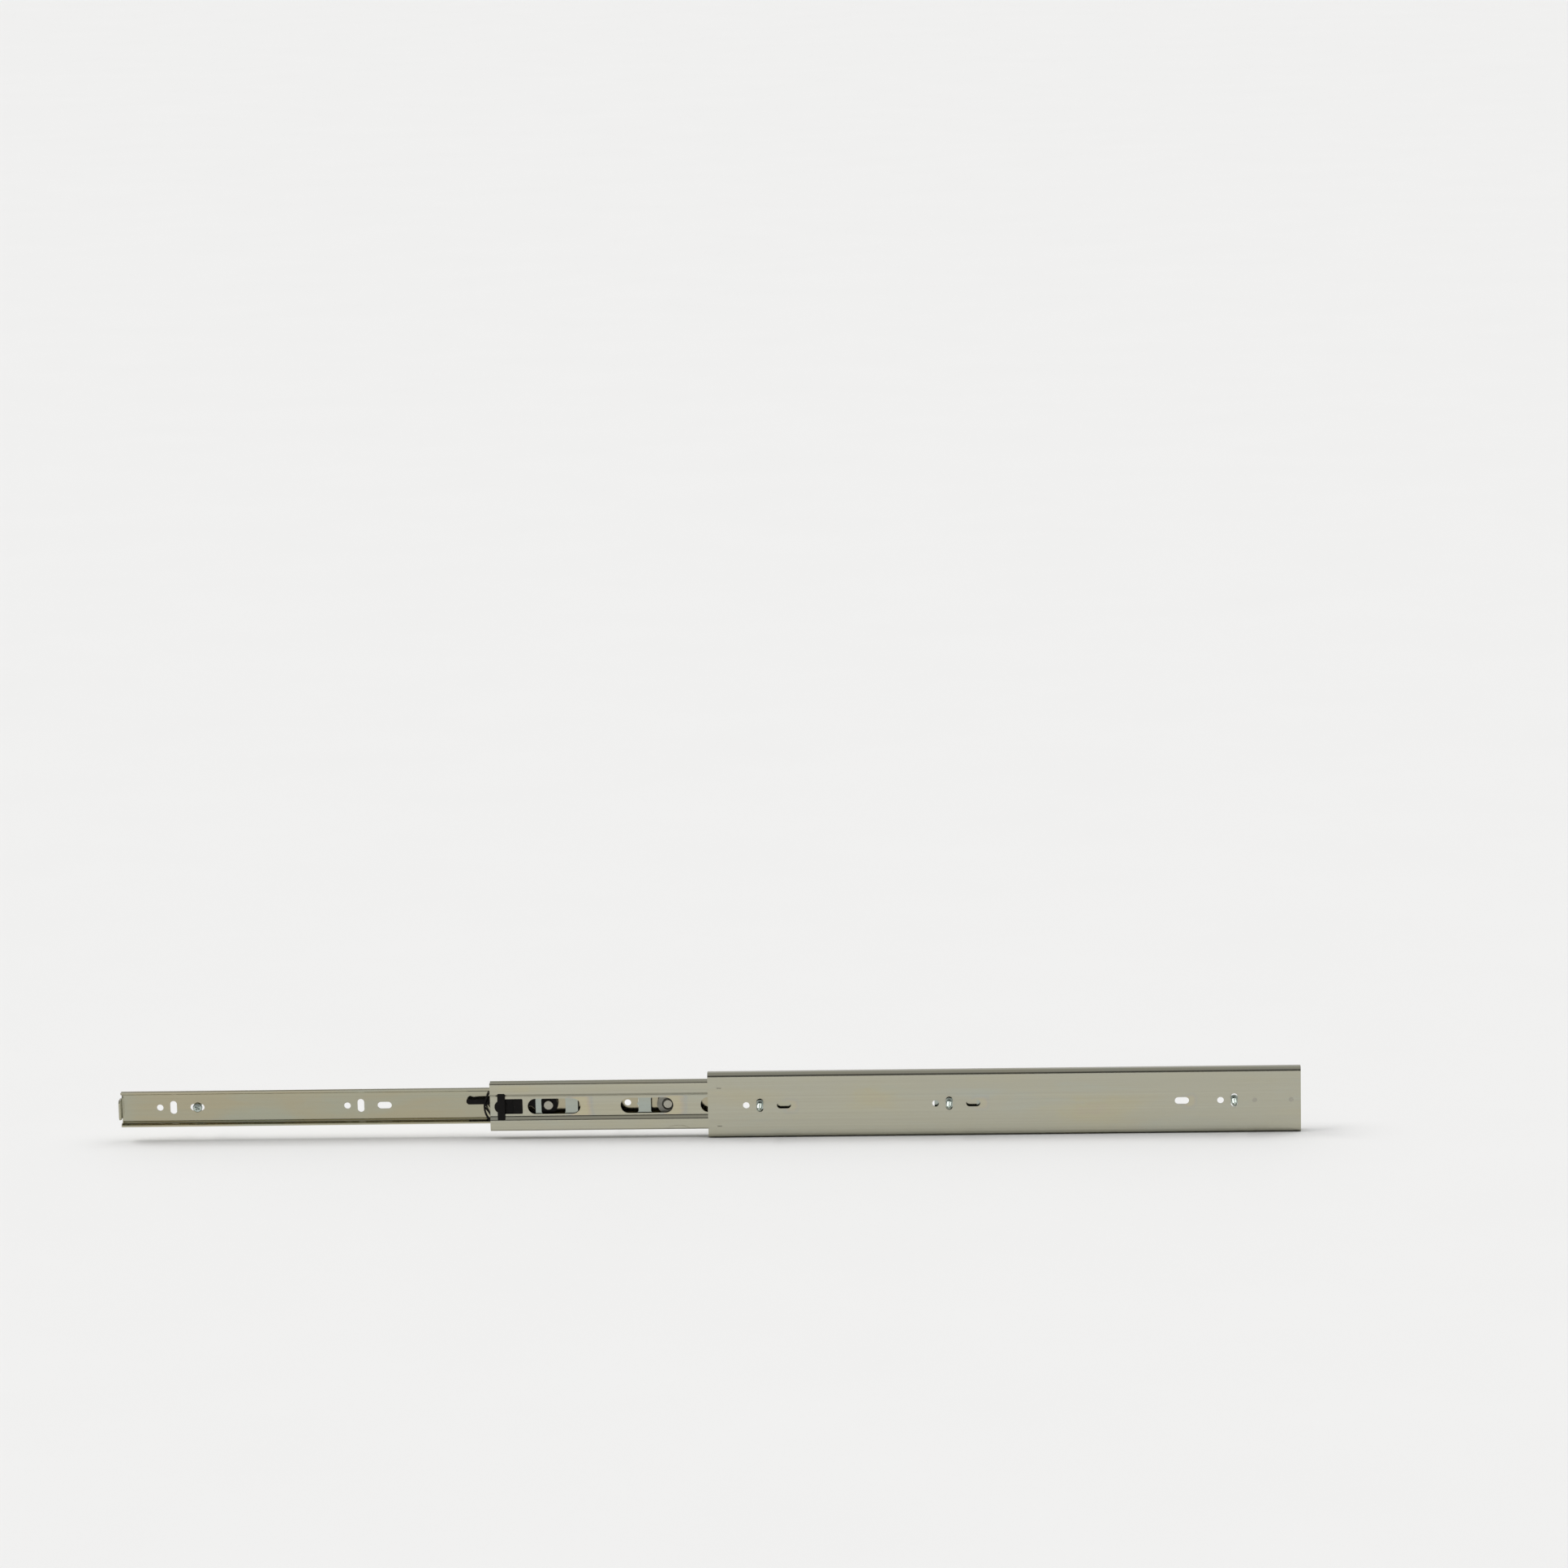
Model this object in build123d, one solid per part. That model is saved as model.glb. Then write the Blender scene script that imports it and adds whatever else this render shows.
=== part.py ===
from build123d import *
import math
import os

# Full-extension side-mount ball-bearing drawer slide, 45 mm class, 400 mm long,
# drawn fully open.
# Frame: +X the closing direction, +Y from the cabinet member's mounting face towards the
# drawer member, +Z up.  Origin: front end of the cabinet member, on its mounting face,
# at mid height.  All lengths in millimetres.

# ------------------------------------------------------------------ driving dimensions
LENGTH = 400.0            # closed length of the slide
SHEET = 1.2               # wall of the three rolled members
CAGE_SHEET = 0.45         # wall of the ball retainers

TRAVEL_MID = 154.0        # travel of the intermediate member in the cabinet member
TRAVEL_DRAWER = 246.0     # travel of the drawer member in the intermediate member

MID_FRONT = -148.0        # front end of the intermediate member, slide open
MID_LENGTH = 352.0
DRW_FRONT = -400.0        # front end of the drawer member's flanges, slide open
LIP_AHEAD = 1.2           # the front lip stands this far ahead of the flanges

CAB_HALF = 21.9           # wall centre line half height of the cabinet member
OUT_BALL_Y, OUT_BALL_Z, OUT_BALL_R = 5.9, 18.65, 2.38     # 3/16 in balls
IN_BALL_Y, IN_BALL_Z, IN_BALL_R = 8.8, 13.25, 1.985       # 5/32 in balls
OUT_RACE_R = 3.25         # bend radius of the cabinet lip round the balls
IN_RACE_R = 2.85          # bend radius of the intermediate lip round the balls

MID_FLOOR_Y = 4.3         # wall centre of the recessed band of the intermediate member
MID_SHOULDER_Y = 2.8      # wall centre of its shoulders
MID_FLOOR_HALF = 7.0
MID_SHOULDER_HALF = 9.2

DRW_WEB_Y = 12.1          # wall centre of the drawer member's web
DRW_EDGE_Y = 5.9          # free edge of its flanges
DRW_EDGE_Z = 11.4

ROUND_R = 2.25            # round screw holes
SLOT_W = 4.6              # vertical adjusting slots, width x height
SLOT_H = 9.2
HSLOT_L = 9.6             # horizontal adjusting slots, length x height
HSLOT_H = 4.8
HOLE_GROUPS = (26.0, 154.0, 345.0)     # round holes, from the front end
VSLOT_AT = (35.2, 163.2, 354.4)
HSLOT_AT = (51.5, 179.4, 326.0)

CAB_ROUND_AT = (26.0, 154.0, 346.0)
CAB_VSLOT_AT = (35.2, 163.2, 355.2)
CAB_HSLOT_AT = (51.5, 179.4, 320.0)

ACCESS_SLOTS = ((25.5, 61.4), (88.6, 124.4), (142.9, 178.4), (206.0, 241.5), (270.0, 305.5))
ACCESS_R = 5.35

OUT_CAGE_X = (10.0, 190.0)
IN_CAGE_X = (-117.2, -18.7)
OUT_BALL_PITCH, OUT_BALL_COUNT = 14.5, 12
IN_BALL_PITCH, IN_BALL_COUNT = 12.0, 8

PIVOT_X = -108.6          # release lever pivot
LEVER_Y = (7.6, 11.2)
ROLLER_X = -27.4          # detent roller
ROLLER_R = 7.4

SCREW_FRONT_AT = 51.7     # drawer screws, from the front end of the drawer member
SCREW_REAR_AT = 326.0
CAB_SCREW_AT = (35.2, 163.2, 355.2)


# ------------------------------------------------------------------ helpers
def one(shape):
    if isinstance(shape, Solid):
        return shape
    solids = list(shape.solids()) if hasattr(shape, "solids") else list(shape)
    assert len(solids) == 1, f"{len(solids)} solids"
    return solids[0]


def fuse(*shapes):
    a = shapes[0]
    return one(a.fuse(*shapes[1:])) if len(shapes) > 1 else one(a)


def cut(a, *tools):
    return one(a.cut(*tools))


def offset_side(pts, radii, d):
    """One side of a bent sheet: the polyline moved d to its left, with its bends."""
    out = []
    n = len(pts)
    cur = None
    for i in range(n):
        px, py = pts[i]
        if i == 0:
            ux, uy = pts[1][0] - px, pts[1][1] - py
            l = math.hypot(ux, uy)
            ux, uy = ux / l, uy / l
            cur = (px - uy * d, py + ux * d)
            continue
        ux, uy = px - pts[i - 1][0], py - pts[i - 1][1]
        l = math.hypot(ux, uy)
        ux, uy = ux / l, uy / l
        if i == n - 1:
            end = (px - uy * d, py + ux * d)
            out.append(("line", cur, end))
            break
        vx, vy = pts[i + 1][0] - px, pts[i + 1][1] - py
        l = math.hypot(vx, vy)
        vx, vy = vx / l, vy / l
        turn = math.atan2(ux * vy - uy * vx, ux * vx + uy * vy)
        s = 1.0 if turn > 0 else -1.0
        r = radii[i - 1]
        t = r * math.tan(abs(turn) / 2)
        ax, ay = px - ux * t, py - uy * t
        bx, by = px + vx * t, py + vy * t
        cx, cy = ax - uy * r * s, ay + ux * r * s
        ro = r - s * d
        a = (ax - uy * d, ay + ux * d)
        b = (bx - vy * d, by + vx * d)
        ml = math.hypot(px - cx, py - cy)
        m = (cx + (px - cx) / ml * ro, cy + (py - cy) / ml * ro)
        if math.hypot(a[0] - cur[0], a[1] - cur[1]) > 1e-6:
            out.append(("line", cur, a))
        out.append(("arc", a, m, b))
        cur = b
    return out


def sheet_face(pts, radii, t, to3d):
    """Closed section of a sheet of wall t along a polyline with bend radii."""
    left = offset_side(pts, radii, t / 2)
    right = offset_side(pts, radii, -t / 2)
    edges = []
    for e in left:
        if e[0] == "line":
            edges.append(Edge.make_line(to3d(e[1]), to3d(e[2])))
        else:
            edges.append(Edge.make_three_point_arc(to3d(e[1]), to3d(e[2]), to3d(e[3])))
    edges.append(Edge.make_line(to3d(left[-1][-1]), to3d(right[-1][-1])))
    for e in reversed(right):
        if e[0] == "line":
            edges.append(Edge.make_line(to3d(e[2]), to3d(e[1])))
        else:
            edges.append(Edge.make_three_point_arc(to3d(e[3]), to3d(e[2]), to3d(e[1])))
    edges.append(Edge.make_line(to3d(right[0][1]), to3d(left[0][1])))
    return Face(Wire(edges))


def mirrored(half, half_radii):
    """Half section from the lip to the web, completed below the middle."""
    pts = half + [(y, -z) for y, z in reversed(half)]
    radii = half_radii + list(reversed(half_radii))
    return pts, radii


def rolled(half, half_radii, t, x0, x1):
    pts, radii = mirrored(half, half_radii)
    face = sheet_face(pts, radii, t, lambda p: Vector(x0, p[0], p[1]))
    return Solid.extrude(face, Vector(x1 - x0, 0, 0))


def poly_xz(pts, y0, y1):
    face = Face(Wire.make_polygon([Vector(x, y0, z) for x, z in pts], close=True))
    return Solid.extrude(face, Vector(0, y1 - y0, 0))


def poly_yz(pts, x0, x1):
    face = Face(Wire.make_polygon([Vector(x0, y, z) for y, z in pts], close=True))
    return Solid.extrude(face, Vector(x1 - x0, 0, 0))


def box(x0, x1, y0, y1, z0, z1):
    return Solid.make_box(x1 - x0, y1 - y0, z1 - z0, Plane((x0, y0, z0)))


def disc(x, z, r, y0, y1):
    return Solid.make_cylinder(r, y1 - y0, Plane(origin=(x, y0, z), z_dir=(0, 1, 0)))


def slot_x(x0, x1, z, r, y0, y1):
    """Full-round slot running along X."""
    a, b = x0 + r, x1 - r
    e = [
        Edge.make_line((a, y0, z + r), (b, y0, z + r)),
        Edge.make_three_point_arc((b, y0, z + r), (x1, y0, z), (b, y0, z - r)),
        Edge.make_line((b, y0, z - r), (a, y0, z - r)),
        Edge.make_three_point_arc((a, y0, z - r), (x0, y0, z), (a, y0, z + r)),
    ]
    return Solid.extrude(Face(Wire(e)), Vector(0, y1 - y0, 0))


def slot_z(x, z0, z1, r, y0, y1):
    """Full-round slot running along Z."""
    a, b = z0 + r, z1 - r
    e = [
        Edge.make_line((x - r, y0, a), (x - r, y0, b)),
        Edge.make_three_point_arc((x - r, y0, b), (x, y0, z1), (x + r, y0, b)),
        Edge.make_line((x + r, y0, b), (x + r, y0, a)),
        Edge.make_three_point_arc((x + r, y0, a), (x, y0, z0), (x - r, y0, a)),
    ]
    return Solid.extrude(Face(Wire(e)), Vector(0, y1 - y0, 0))


def round_rect(x0, x1, z0, z1, r, y0, y1):
    b = box(x0, x1, y0, y1, z0, z1)
    edges = [e for e in b.edges() if abs(abs(e.tangent_at(0.5).Y) - 1) < 1e-6]
    return b.fillet(r, edges)


def turned(x, z, profile):
    """Solid of revolution about the Y axis line through (x, z); profile is (radius, y)."""
    at = lambda q: Vector(x + q[0], q[1], z)
    edges, cur = [], profile[0]
    for q in profile[1:] + [profile[0]]:
        if q[0] == "arc":
            edges.append(Edge.make_three_point_arc(at(cur), at(q[1]), at(q[2])))
            cur = q[2]
        else:
            edges.append(Edge.make_line(at(cur), at(q)))
            cur = q
    return Solid.revolve(Face(Wire(edges)), 360, Axis((x, 0, z), (0, 1, 0)))


def pan(r, y_top, s, corner, crown):
    """Side, rounded corner and shallow crown of a pan head; s is the way its top faces."""
    mid = y_top - s * crown
    y_side = mid + s * math.sqrt((crown - corner) ** 2 - (r - corner) ** 2)
    a = math.asin((r - corner) / (crown - corner))
    m = (math.pi / 2 + a) / 2
    return [
        (r, y_side),
        ("arc", (r - corner + corner * math.sin(m), y_side + s * corner * math.cos(m)),
         (crown * math.sin(a), mid + s * crown * math.cos(a))),
        ("arc", (crown * math.sin(a / 2), mid + s * crown * math.cos(a / 2)), (0.0, y_top)),
    ]


def button(r, y_under, y_top, rim=0.35):
    """Flat-faced rivet head from its underside to its middle, with a rolled rim."""
    s = 1.0 if y_top > y_under else -1.0
    k = rim * (1 - math.sqrt(0.5))
    return [
        (r, y_under), (r, y_top - s * rim),
        ("arc", (r - k, y_top - s * k), (r - rim, y_top)),
        (0.0, y_top),
    ]


def y_edges(s, pick=lambda c: True):
    return [
        e
        for e in s.edges()
        if e.geom_type == GeomType.LINE and abs(abs(e.tangent_at(0.5).Y) - 1) < 1e-6 and pick(e.center())
    ]


def screw(x, z, seat_y, way, head_r, head_h, length, recess_turn=0.0, shank_r=1.75, root_r=1.25, pitch=1.4):
    """Pan-head wood screw; way is +1 when the point runs towards +Y."""
    prof = [(shank_r - 0.1, seat_y + way * 1.6), (shank_r - 0.1, seat_y), (head_r, seat_y)]
    prof += pan(head_r, seat_y - way * head_h, -way, 0.2 + 0.28 * head_h, 12.0)
    tip = [(0.0, seat_y + way * length)]
    y, thread = 1.6, []
    while y + pitch < length - 3.2:
        thread += [(root_r, seat_y + way * (y + 0.35)), (root_r, seat_y + way * (y + 0.75)),
                   (shank_r, seat_y + way * (y + 1.05)), (shank_r, seat_y + way * (y + 1.15))]
        y += pitch
    thread += [(root_r, seat_y + way * (y + 0.35)), (root_r, seat_y + way * (length - 2.8))]
    body = turned(x, z, prof + tip + list(reversed(thread)))
    # cross recess: four wings that narrow towards the bottom, round a conical middle
    top = seat_y - way * (head_h + 0.2)
    deep = seat_y - way * (head_h - 1.25)
    w = 0.62 * head_r
    tools = [turned(x, z, [(0.0, deep + way * 0.25), (0.45, deep), (1.05, top), (0.0, top)])]
    for turn in (0.0, 90.0):
        wing = Solid.extrude(
            Face(Wire.make_polygon([
                Vector(x - w, top, z), Vector(x + w, top, z), Vector(x + 0.45 * w, deep, z), Vector(x - 0.45 * w, deep, z)
            ], close=True)),
            Vector(0, 0, 0.96),
        ).moved(Location((0, 0, -0.48)))
        tools.append(wing.rotate(Axis((x, 0, z), (0, 1, 0)), turn + recess_turn))
    return cut(body, *tools)


parts = {}

# ------------------------------------------------------------------ cabinet member
lip_y = OUT_BALL_Y + OUT_RACE_R
cab_half = [(lip_y, 17.4), (lip_y, CAB_HALF), (SHEET / 2, CAB_HALF)]
cabinet = rolled(cab_half, [OUT_RACE_R, 2.4], SHEET, 0.0, LENGTH)
tools = [disc(x, 0, ROUND_R, -1, 3) for x in CAB_ROUND_AT]
tools += [slot_z(x, -SLOT_H / 2, SLOT_H / 2, SLOT_W / 2, -1, 3) for x in CAB_VSLOT_AT]
tools += [slot_x(x - HSLOT_L / 2, x + HSLOT_L / 2, 0, HSLOT_H / 2, -1, 3) for x in CAB_HSLOT_AT]
tools += [disc(x, 0, 1.6, -1, 3) for x in (369.0, 393.5)]
cabinet = cut(cabinet, *tools)
# half-sheared stops that end the outer retainer's way forward, with their recesses outside
for z in (-13.2, 13.2):
    cabinet = fuse(cabinet, box(6.0, 9.5, SHEET - 0.4, 1.9, z - 1.4, z + 1.4))
    cabinet = cut(cabinet, round_rect(6.15, 9.35, z - 1.25, z + 1.25, 0.4, -1.0, 0.65))
parts["cabinet_member"] = cabinet

parts["cabinet_screws"] = Compound(
    [screw(x, 0, SHEET, -1, 3.4, 1.3, 15.0, t) for x, t in zip(CAB_SCREW_AT, (12.0, 33.0, -20.0))]
)

# rear catch: moulded jaws that hold the roller when the slide is shut
base = round_rect(360.8, 398.4, -9.5, 9.5, 2.0, SHEET, 3.4)
jaws = []
for s in (1, -1):
    jaws.append(
        poly_xz(
            [(362.0, s * 8.6), (362.0, s * 9.5), (388.0, s * 9.5), (388.0, s * 7.7), (364.2, s * 7.7)],
            3.3, 10.8,
        )
    )
wall = box(384.6, 388.0, 3.3, 10.8, -8.0, 8.0)
def rib_xy(pts, z0, z1):
    face = Face(Wire.make_polygon([Vector(x, y, z0) for x, y in pts], close=True))
    return Solid.extrude(face, Vector(0, 0, z1 - z0))


ribs = [rib_xy([(387.5, 3.2), (392.6, 3.2), (391.0, 4.2), (387.5, 9.4)], z - 0.7, z + 0.7) for z in (-6.4, 6.4)]
catch = fuse(base, *jaws, wall)
catch = catch.fillet(1.1, y_edges(catch, lambda c: abs(c.X - 388.0) < 1e-3 and abs(abs(c.Z) - 9.5) < 1e-3))
try:
    catch = one(catch.fillet(0.45, [e for e in catch.edges() if abs(e.center().Y - 10.8) < 1e-4]))
except Exception:
    print("catch rim left sharp")
try:
    catch = one(catch.fillet(0.4, [e for e in catch.edges() if abs(e.center().Y - 3.4) < 1e-4 and e.center().X > 388.2]))
except Exception:
    print("catch base left sharp")
catch = fuse(catch, *ribs)
catch = cut(catch, disc(369.0, 0, 1.6, 0, 5), disc(393.5, 0, 1.6, 0, 5))
parts["rear_catch"] = catch

buffer_ = box(380.5, 384.6, 3.4, 10.4, -7.3, 7.3)
buffer_ = buffer_.fillet(1.0, [e for e in buffer_.edges() if abs(e.center().X - 380.5) < 1e-6 and abs(e.tangent_at(0.5).X) < 1e-6])
parts["rear_buffer"] = buffer_

parts["rear_catch_rivets"] = Compound(
    [turned(x, 0, [(0.0, 0.0), (1.6, 0.0), (1.6, 3.4)] + button(3.0, 3.4, 4.4)) for x in (369.0, 393.5)]
)

# ------------------------------------------------------------------ outer ball retainer
c0, c1 = OUT_CAGE_X
cage_half = [(8.3, OUT_BALL_Z), (1.7, OUT_BALL_Z), (1.7, 8.7), (2.975, 6.8)]
outer_cage = rolled(cage_half, [0.9, 0.7, 0.7], CAGE_SHEET, c0, c1)
tools = []
n_win, win = 6, 20.5
bar = (c1 - c0 - n_win * win) / (n_win + 1)
for i in range(n_win):
    x = c0 + bar + i * (win + bar)
    tools.append(round_rect(x, x + win, -14.8, 14.8, 2.0, 0, 6))
out_x = [c0 + 10.25 + OUT_BALL_PITCH * i for i in range(OUT_BALL_COUNT)]
for x in out_x:
    tools.append(Solid.make_cylinder(OUT_BALL_R + 0.1, 50.0, Plane(origin=(x, OUT_BALL_Y, -25.0), z_dir=(0, 0, 1))))
outer_cage = cut(outer_cage, *tools)
parts["outer_ball_retainer"] = outer_cage
parts["outer_balls_upper"] = Compound([Solid.make_sphere(OUT_BALL_R, Plane((x, OUT_BALL_Y, OUT_BALL_Z))) for x in out_x])
parts["outer_balls_lower"] = Compound([Solid.make_sphere(OUT_BALL_R, Plane((x, OUT_BALL_Y, -OUT_BALL_Z))) for x in out_x])

# ------------------------------------------------------------------ intermediate member
mid_lip_y = IN_BALL_Y + IN_RACE_R
k = 1.2 / 2.2
mid_half = [
    (mid_lip_y, 12.6),
    (mid_lip_y, 16.1),
    (OUT_BALL_Y + 2.2, 16.1),
    (OUT_BALL_Y, 14.9),
    (MID_SHOULDER_Y, 14.9 + k * (OUT_BALL_Y - MID_SHOULDER_Y)),
    (MID_SHOULDER_Y, MID_SHOULDER_HALF),
    (MID_FLOOR_Y, MID_FLOOR_HALF),
]
mid = rolled(mid_half, [IN_RACE_R, 1.2, 2.9, 0.7, 0.8, 2.3], SHEET, MID_FRONT, MID_FRONT + MID_LENGTH)
tools = [slot_x(MID_FRONT + a, MID_FRONT + b, 0, ACCESS_R, 3, 6) for a, b in ACCESS_SLOTS]
tools.append(round_rect(MID_FRONT + 9.2, MID_FRONT + 22.1, -5.1, 5.3, 0.8, 3, 6))
tools.append(disc(MID_FRONT + 7.2, 0, 4.3, 3, 6))
mid = cut(mid, *tools)
for z in (-13.2, 13.2):
    mid = fuse(mid, box(190.6, 194.0, 1.5, MID_SHOULDER_Y - 0.2, z - 1.4, z + 1.4))
    mid = cut(mid, round_rect(190.75, 193.85, z - 1.25, z + 1.25, 0.4, MID_SHOULDER_Y + 0.05, 4.2))
parts["intermediate_member"] = mid

# front bumper: clipped through the web, with the stop for the lever and a springy bow
f = MID_FRONT
tbar = poly_yz(
    [(1.55, -9.2), (2.12, -9.2), (2.14, -8.75), (3.66, -6.35), (3.66, 6.35), (2.14, 8.75), (2.12, 9.2), (1.55, 9.2)],
    f + 5.1, f + 10.2,
)
tbar = one(tbar.intersect(round_rect(f + 5.1, f + 10.2, -9.2, 9.2, 0.8, 1.0, 4.0)))
tbar = tbar.fillet(0.4, [e for e in tbar.edges() if abs(e.center().Y - 1.55) < 1e-6])
boss = turned(f + 7.2, 0, [(0.0, 5.6), (4.1, 5.6), (4.1, 2.3), ("arc", (3.95, 1.95), (3.6, 1.8)), (0.0, 1.8)])
boss = cut(boss, box(f + 8.0, f + 12.0, 0.0, 4.0, -5.0, 5.0))
plate = round_rect(f + 0.5, f + 22.6, -9.3, 9.3, 1.0, 4.92, 5.62)
ears = round_rect(f - 0.2, f + 3.2, -10.6, 10.6, 0.6, 4.92, 5.62)
block = round_rect(f + 15.6, f + 21.9, -4.9, 5.1, 0.5, 3.5, 5.6)
block = block.fillet(0.3, [e for e in block.edges() if abs(e.center().Y - 3.5) < 1e-6])
stop = round_rect(f + 1.2, f + 21.5, 6.6, 9.4, 0.6, 5.3, 9.6)


def strip_xz(pts, radii, t, y0, y1):
    face = sheet_face(pts, radii, t, lambda p: Vector(p[0], y0, p[1]))
    return Solid.extrude(face, Vector(0, y1 - y0, 0))


# bow: an arc from ear to ear, bulging forward
bow_c, bow_s = 10.2, 4.2
bow_r = (bow_c**2 + bow_s**2) / (2 * bow_s)
x_end = f + 0.25
cx = x_end - bow_s + bow_r


def arc_pts(r):
    a = math.asin(bow_c / bow_r)
    return [(cx - r * math.cos(q), r * math.sin(q)) for q in (a, 0.0, -a)]


po, pi_ = arc_pts(bow_r + 0.55), arc_pts(bow_r - 0.55)
bow_edges = [
    Edge.make_three_point_arc(*[Vector(x, 3.9, z) for x, z in po]),
    Edge.make_line(Vector(po[2][0], 3.9, po[2][1]), Vector(pi_[2][0], 3.9, pi_[2][1])),
    Edge.make_three_point_arc(*[Vector(x, 3.9, z) for x, z in reversed(pi_)]),
    Edge.make_line(Vector(pi_[0][0], 3.9, pi_[0][1]), Vector(po[0][0], 3.9, po[0][1])),
]
bow = Solid.extrude(Face(Wire(bow_edges)), Vector(0, 1.72, 0))
struts = [
    strip_xz([(f - 3.75, s * 0.2), (f - 1.2, s * 3.6), (f + 0.9, s * 6.8)], [6.0], 0.75, 4.1, 5.6)
    for s in (1, -1)
]
clear = box(f - 0.06, f + 3.0, 3.0, 4.92, -12.0, 12.0)
bow = cut(bow, clear)
struts = [cut(q, clear) for q in struts]
bumper = fuse(plate, ears, tbar, boss, block, stop, bow, *struts)
parts["front_bumper"] = bumper

# ------------------------------------------------------------------ inner ball retainer
c0, c1 = IN_CAGE_X
in_half = [(10.75, IN_BALL_Z), (5.425, IN_BALL_Z)]
inner_cage = rolled(in_half, [0.8], CAGE_SHEET, c0, c1)
tools = []
for i in range(4):
    x = c0 + 3.9 + 24.8 * i
    tools.append(round_rect(x, x + 16.4, -5.45, 5.45, 1.7, 4, 7))
in_x = [c0 + 7.25 + IN_BALL_PITCH * i for i in range(IN_BALL_COUNT)]
for x in in_x:
    tools.append(Solid.make_cylinder(IN_BALL_R + 0.1, 40.0, Plane(origin=(x, IN_BALL_Y, -20.0), z_dir=(0, 0, 1))))
# a pair of small pressed dimples on each wide bar
for i in range(1, 4):
    x = c0 + 24.8 * i - 0.35
    for dx in (-1.4, 1.4):
        tools.append(Solid.make_sphere(4.5, Plane((x + dx, 5.2 - 4.445, 0.0))))
inner_cage = cut(inner_cage, *tools)
tongue = slot_x(c0 + 3.9 + 24.8 * 3 - 8.4 - 1.0, c0 + 3.9 + 24.8 * 3 - 8.4 + 3.0, 0.9, 0.9, 5.2, 5.65)
inner_cage = fuse(inner_cage, tongue)
parts["inner_ball_retainer"] = inner_cage
parts["inner_balls_upper"] = Compound([Solid.make_sphere(IN_BALL_R, Plane((x, IN_BALL_Y, IN_BALL_Z))) for x in in_x])
parts["inner_balls_lower"] = Compound([Solid.make_sphere(IN_BALL_R, Plane((x, IN_BALL_Y, -IN_BALL_Z))) for x in in_x])

# ------------------------------------------------------------------ drawer member
k2 = 0.5914
drw_half = [
    (DRW_EDGE_Y, DRW_EDGE_Z),
    (6.6, DRW_EDGE_Z),
    (8.74, 9.9),
    (DRW_WEB_Y, 9.9 + k2 * (DRW_WEB_Y - 8.74)),
]
drawer = rolled(drw_half, [0.9, 2.6, 1.1], SHEET, DRW_FRONT, 0.0)
# front lip: the web runs past the flanges and turns back towards -Y
lip_face = sheet_face(
    [(DRW_FRONT + 12.0, DRW_WEB_Y), (DRW_FRONT - LIP_AHEAD + SHEET / 2, DRW_WEB_Y), (DRW_FRONT - LIP_AHEAD + SHEET / 2, 3.5)],
    [1.5], SHEET, lambda p: Vector(p[0], p[1], -6.9),
)
lip = Solid.extrude(lip_face, Vector(0, 0, 13.8))
lip = lip.chamfer(1.7, None, [
    e for e in lip.edges()
    if abs(e.center().Y - 3.5) < 1e-3 and abs(abs(e.center().Z) - 6.9) < 1e-3
])
drawer = fuse(drawer, lip)
tools = [disc(DRW_FRONT + x, 0, ROUND_R, 10, 14) for x in HOLE_GROUPS]
tools += [slot_z(DRW_FRONT + x, -SLOT_H / 2, SLOT_H / 2, SLOT_W / 2, 10, 14) for x in VSLOT_AT]
tools += [slot_x(DRW_FRONT + x - HSLOT_L / 2, DRW_FRONT + x + HSLOT_L / 2, 0, HSLOT_H / 2, 10, 14) for x in HSLOT_AT]
tools += [disc(PIVOT_X, 0, 1.8, 10, 14), disc(ROLLER_X, 0, 1.8, 10, 14)]
drawer = cut(drawer, *tools)
parts["drawer_member"] = drawer

web_in = DRW_WEB_Y - SHEET / 2
web_out = DRW_WEB_Y + SHEET / 2
parts["drawer_screws"] = Compound(
    [screw(DRW_FRONT + x, 0, web_in, 1, 3.2, 2.0, 14.5, t) for x, t in ((SCREW_FRONT_AT, 32.0), (SCREW_REAR_AT, -8.0))]
)

# release lever: hub on the pivot rivet, latch nose on top, finger reaching forward
p = PIVOT_X
y0, y1 = LEVER_Y
body = poly_xz(
    [
        (p, 6.0), (p - 11.4, 6.0), (p - 11.9, 7.9), (p - 17.6, 7.9), (p - 17.6, 5.55), (p - 29.0, 5.35),
        (p - 29.0, 0.75), (p - 25.5, 0.75), (p - 19.0, -5.4), (p - 4.0, -5.9), (p, -6.1),
    ],
    y0, y1,
)
body = body.fillet(1.2, y_edges(body, lambda c: abs(c.X - (p - 25.5)) < 0.01 or abs(c.X - (p - 19.0)) < 0.01))
hub = disc(p, 0, 6.35, y0, y1)
# finger: a tapering arm that ends in a round bulb, all its long edges rolled over
bx, bz, br = p - 53.75, 2.93, 2.17
neck = (p - 51.4, 4.42)
finger_edges = [
    Edge.make_line((p - 27.0, y0, 5.38), (p - 49.0, y0, 4.75)),
    Edge.make_line((p - 49.0, y0, 4.75), (neck[0], y0, neck[1])),
    Edge.make_line((neck[0], y0, neck[1]), (bx + 1.15, y0, bz + math.sqrt(br**2 - 1.15**2))),
    Edge.make_three_point_arc((bx + 1.15, y0, bz + math.sqrt(br**2 - 1.15**2)), (bx - br, y0, bz), (bx, y0, bz - br)),
    Edge.make_line((bx, y0, bz - br), (p - 27.0, y0, bz - br)),
    Edge.make_line((p - 27.0, y0, bz - br), (p - 27.0, y0, 5.38)),
]
finger = Solid.extrude(Face(Wire(finger_edges)), Vector(0, y1 - y0, 0))
finger = finger.fillet(1.0, y_edges(finger, lambda c: p - 53.0 < c.X < p - 48.0 and c.Z > 3.0))
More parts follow.
